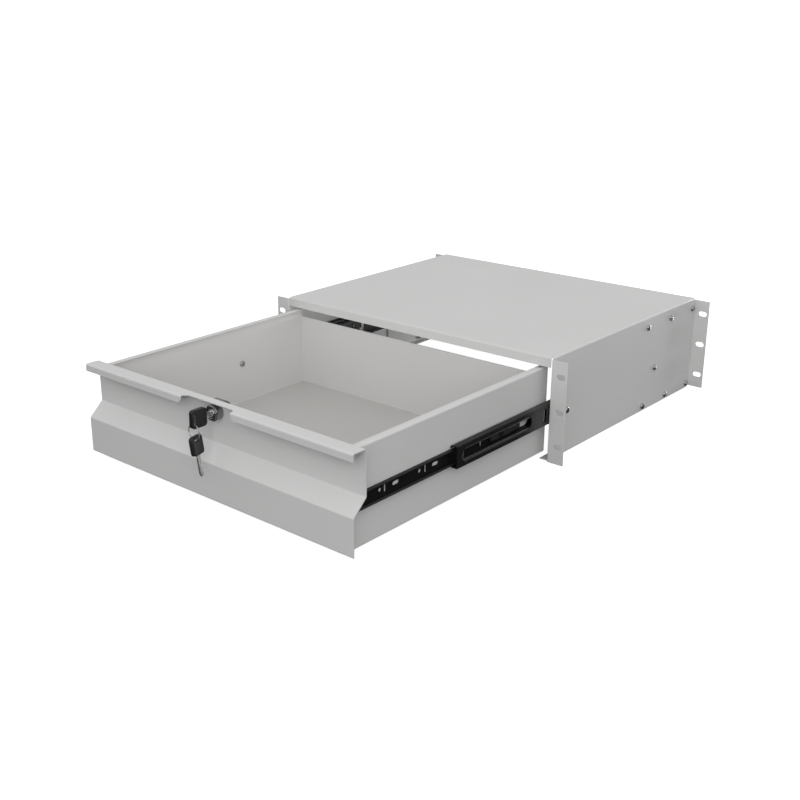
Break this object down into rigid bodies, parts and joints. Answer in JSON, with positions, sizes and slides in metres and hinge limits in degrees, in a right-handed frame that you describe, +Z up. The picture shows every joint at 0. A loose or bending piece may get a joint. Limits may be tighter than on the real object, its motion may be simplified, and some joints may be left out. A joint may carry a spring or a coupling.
{
  "type": "sliding rack drawer",
  "caption": "Rack-mount drawer: folded steel housing with rack ears, drawer on telescopic ball slides, grip lip with finger recess, cam lock with keys.",
  "frame": {"origin": "centre of the front ears' slot pattern, on the front face of the ears", "axes": "+X to the right facing the front, +Y back into the rack, +Z up; the drawer opens towards -Y and is stored fully open"},
  "size_m": [0.4826, 0.7476, 0.1324],
  "materials": {
    "powder_coat": "light grey powder coat, fine satin texture",
    "slide_black": "black electrocoat, satin",
    "cage_zinc": "zinc plated strip",
    "ball_steel": "polished bearing steel",
    "screw_zinc": "zinc plated",
    "rubber_black": "matt",
    "plastic_black": "moulded, fine grain",
    "lock_chrome": "bright chrome plate",
    "lock_steel": "zinc plated, satin",
    "key_steel": "nickel plated",
    "bow_plastic": "moulded, satin"
  },
  "bodies": {
    "housing": {"housing_shell": "powder_coat", "rear_bracket_left": "powder_coat", "rear_bracket_right": "powder_coat", "bracket_screws": "screw_zinc", "bracket_nuts": "screw_zinc", "lock_strike": "powder_coat", "cabinet_member_left": "slide_black", "cabinet_member_right": "slide_black", "cabinet_screws": "screw_zinc", "end_bumper_left": "rubber_black", "end_bumper_right": "rubber_black"},
    "drawer": {"drawer_tray": "powder_coat", "front_panel": "powder_coat", "drawer_member_left": "slide_black", "drawer_member_right": "slide_black", "drawer_screws": "screw_zinc", "lever_rivets": "screw_zinc", "lock_body": "lock_chrome", "lock_nut": "lock_steel"},
    "lock_core": {"lock_plug": "lock_steel", "lock_cam": "lock_steel", "cam_screw": "screw_zinc"},
    "lock_key": {"key_blade": "key_steel", "key_bow": "bow_plastic"},
    "ring": {"key_ring": "key_steel"},
    "spare_key": {"spare_key_blade": "key_steel", "spare_key_bow": "bow_plastic"},
    "middle_left": {"middle_member_left": "slide_black"},
    "outer_cage_set_left": {"outer_cage_left": "cage_zinc", "outer_balls_left": "ball_steel"},
    "inner_cage_set_left": {"inner_cage_left": "cage_zinc", "inner_balls_left": "ball_steel"},
    "lever_left": {"release_lever_left": "plastic_black"},
    "middle_right": {"middle_member_right": "slide_black"},
    "outer_cage_set_right": {"outer_cage_right": "cage_zinc", "outer_balls_right": "ball_steel"},
    "inner_cage_set_right": {"inner_cage_right": "cage_zinc", "inner_balls_right": "ball_steel"},
    "lever_right": {"release_lever_right": "plastic_black"}
  },
  "joints": [
    {"name": "drawer_slide", "type": "slide", "parent": "housing", "child": "drawer", "axis": [0, 1, 0], "range_m": [0, 0.35]},
    {"name": "middle_slide_left", "type": "slide", "parent": "housing", "child": "middle_left", "axis": [0, 1, 0], "range_m": [0, 0.1995]},
    {"name": "outer_cage_slide_left", "type": "slide", "parent": "housing", "child": "outer_cage_set_left", "axis": [0, 1, 0], "range_m": [0, 0.09975]},
    {"name": "inner_cage_slide_left", "type": "slide", "parent": "housing", "child": "inner_cage_set_left", "axis": [0, 1, 0], "range_m": [0, 0.27475]},
    {"name": "middle_slide_right", "type": "slide", "parent": "housing", "child": "middle_right", "axis": [0, 1, 0], "range_m": [0, 0.1995]},
    {"name": "outer_cage_slide_right", "type": "slide", "parent": "housing", "child": "outer_cage_set_right", "axis": [0, 1, 0], "range_m": [0, 0.09975]},
    {"name": "inner_cage_slide_right", "type": "slide", "parent": "housing", "child": "inner_cage_set_right", "axis": [0, 1, 0], "range_m": [0, 0.27475]},
    {"name": "lock_turn", "type": "hinge", "parent": "drawer", "child": "lock_core", "pos_m": [0, -0.342, 0.03925], "axis": [0, 1, 0], "range_deg": [0, 90]},
    {"name": "key_pull", "type": "slide", "parent": "lock_core", "child": "lock_key", "axis": [0, -1, 0], "range_m": [0, 0.03]},
    {"name": "ring_swing", "type": "hinge", "parent": "lock_key", "child": "ring", "pos_m": [0, -0.3665, 0.03365], "axis": [1, 0, 0], "range_deg": [-40, 5]},
    {"name": "spare_key_swing", "type": "hinge", "parent": "ring", "child": "spare_key", "pos_m": [0.0015, -0.3665, 0.01733], "axis": [0.9816, 0, 0.1908], "range_deg": [-40, 5]},
    {"name": "lever_turn_left", "type": "hinge", "parent": "drawer", "child": "lever_left", "pos_m": [-0.209, -0.087, -0.00575], "axis": [1, 0, 0], "range_deg": [-4, 4]},
    {"name": "lever_turn_right", "type": "hinge", "parent": "drawer", "child": "lever_right", "pos_m": [0.209, -0.087, -0.00575], "axis": [1, 0, 0], "range_deg": [-4, 4]}
  ],
  "couplings": [
    {"joint": "middle_slide_left", "follows": "drawer_slide", "ratio": 0.57},
    {"joint": "outer_cage_slide_left", "follows": "drawer_slide", "ratio": 0.285},
    {"joint": "inner_cage_slide_left", "follows": "drawer_slide", "ratio": 0.785},
    {"joint": "middle_slide_right", "follows": "drawer_slide", "ratio": 0.57},
    {"joint": "outer_cage_slide_right", "follows": "drawer_slide", "ratio": 0.285},
    {"joint": "inner_cage_slide_right", "follows": "drawer_slide", "ratio": 0.785}
  ]
}
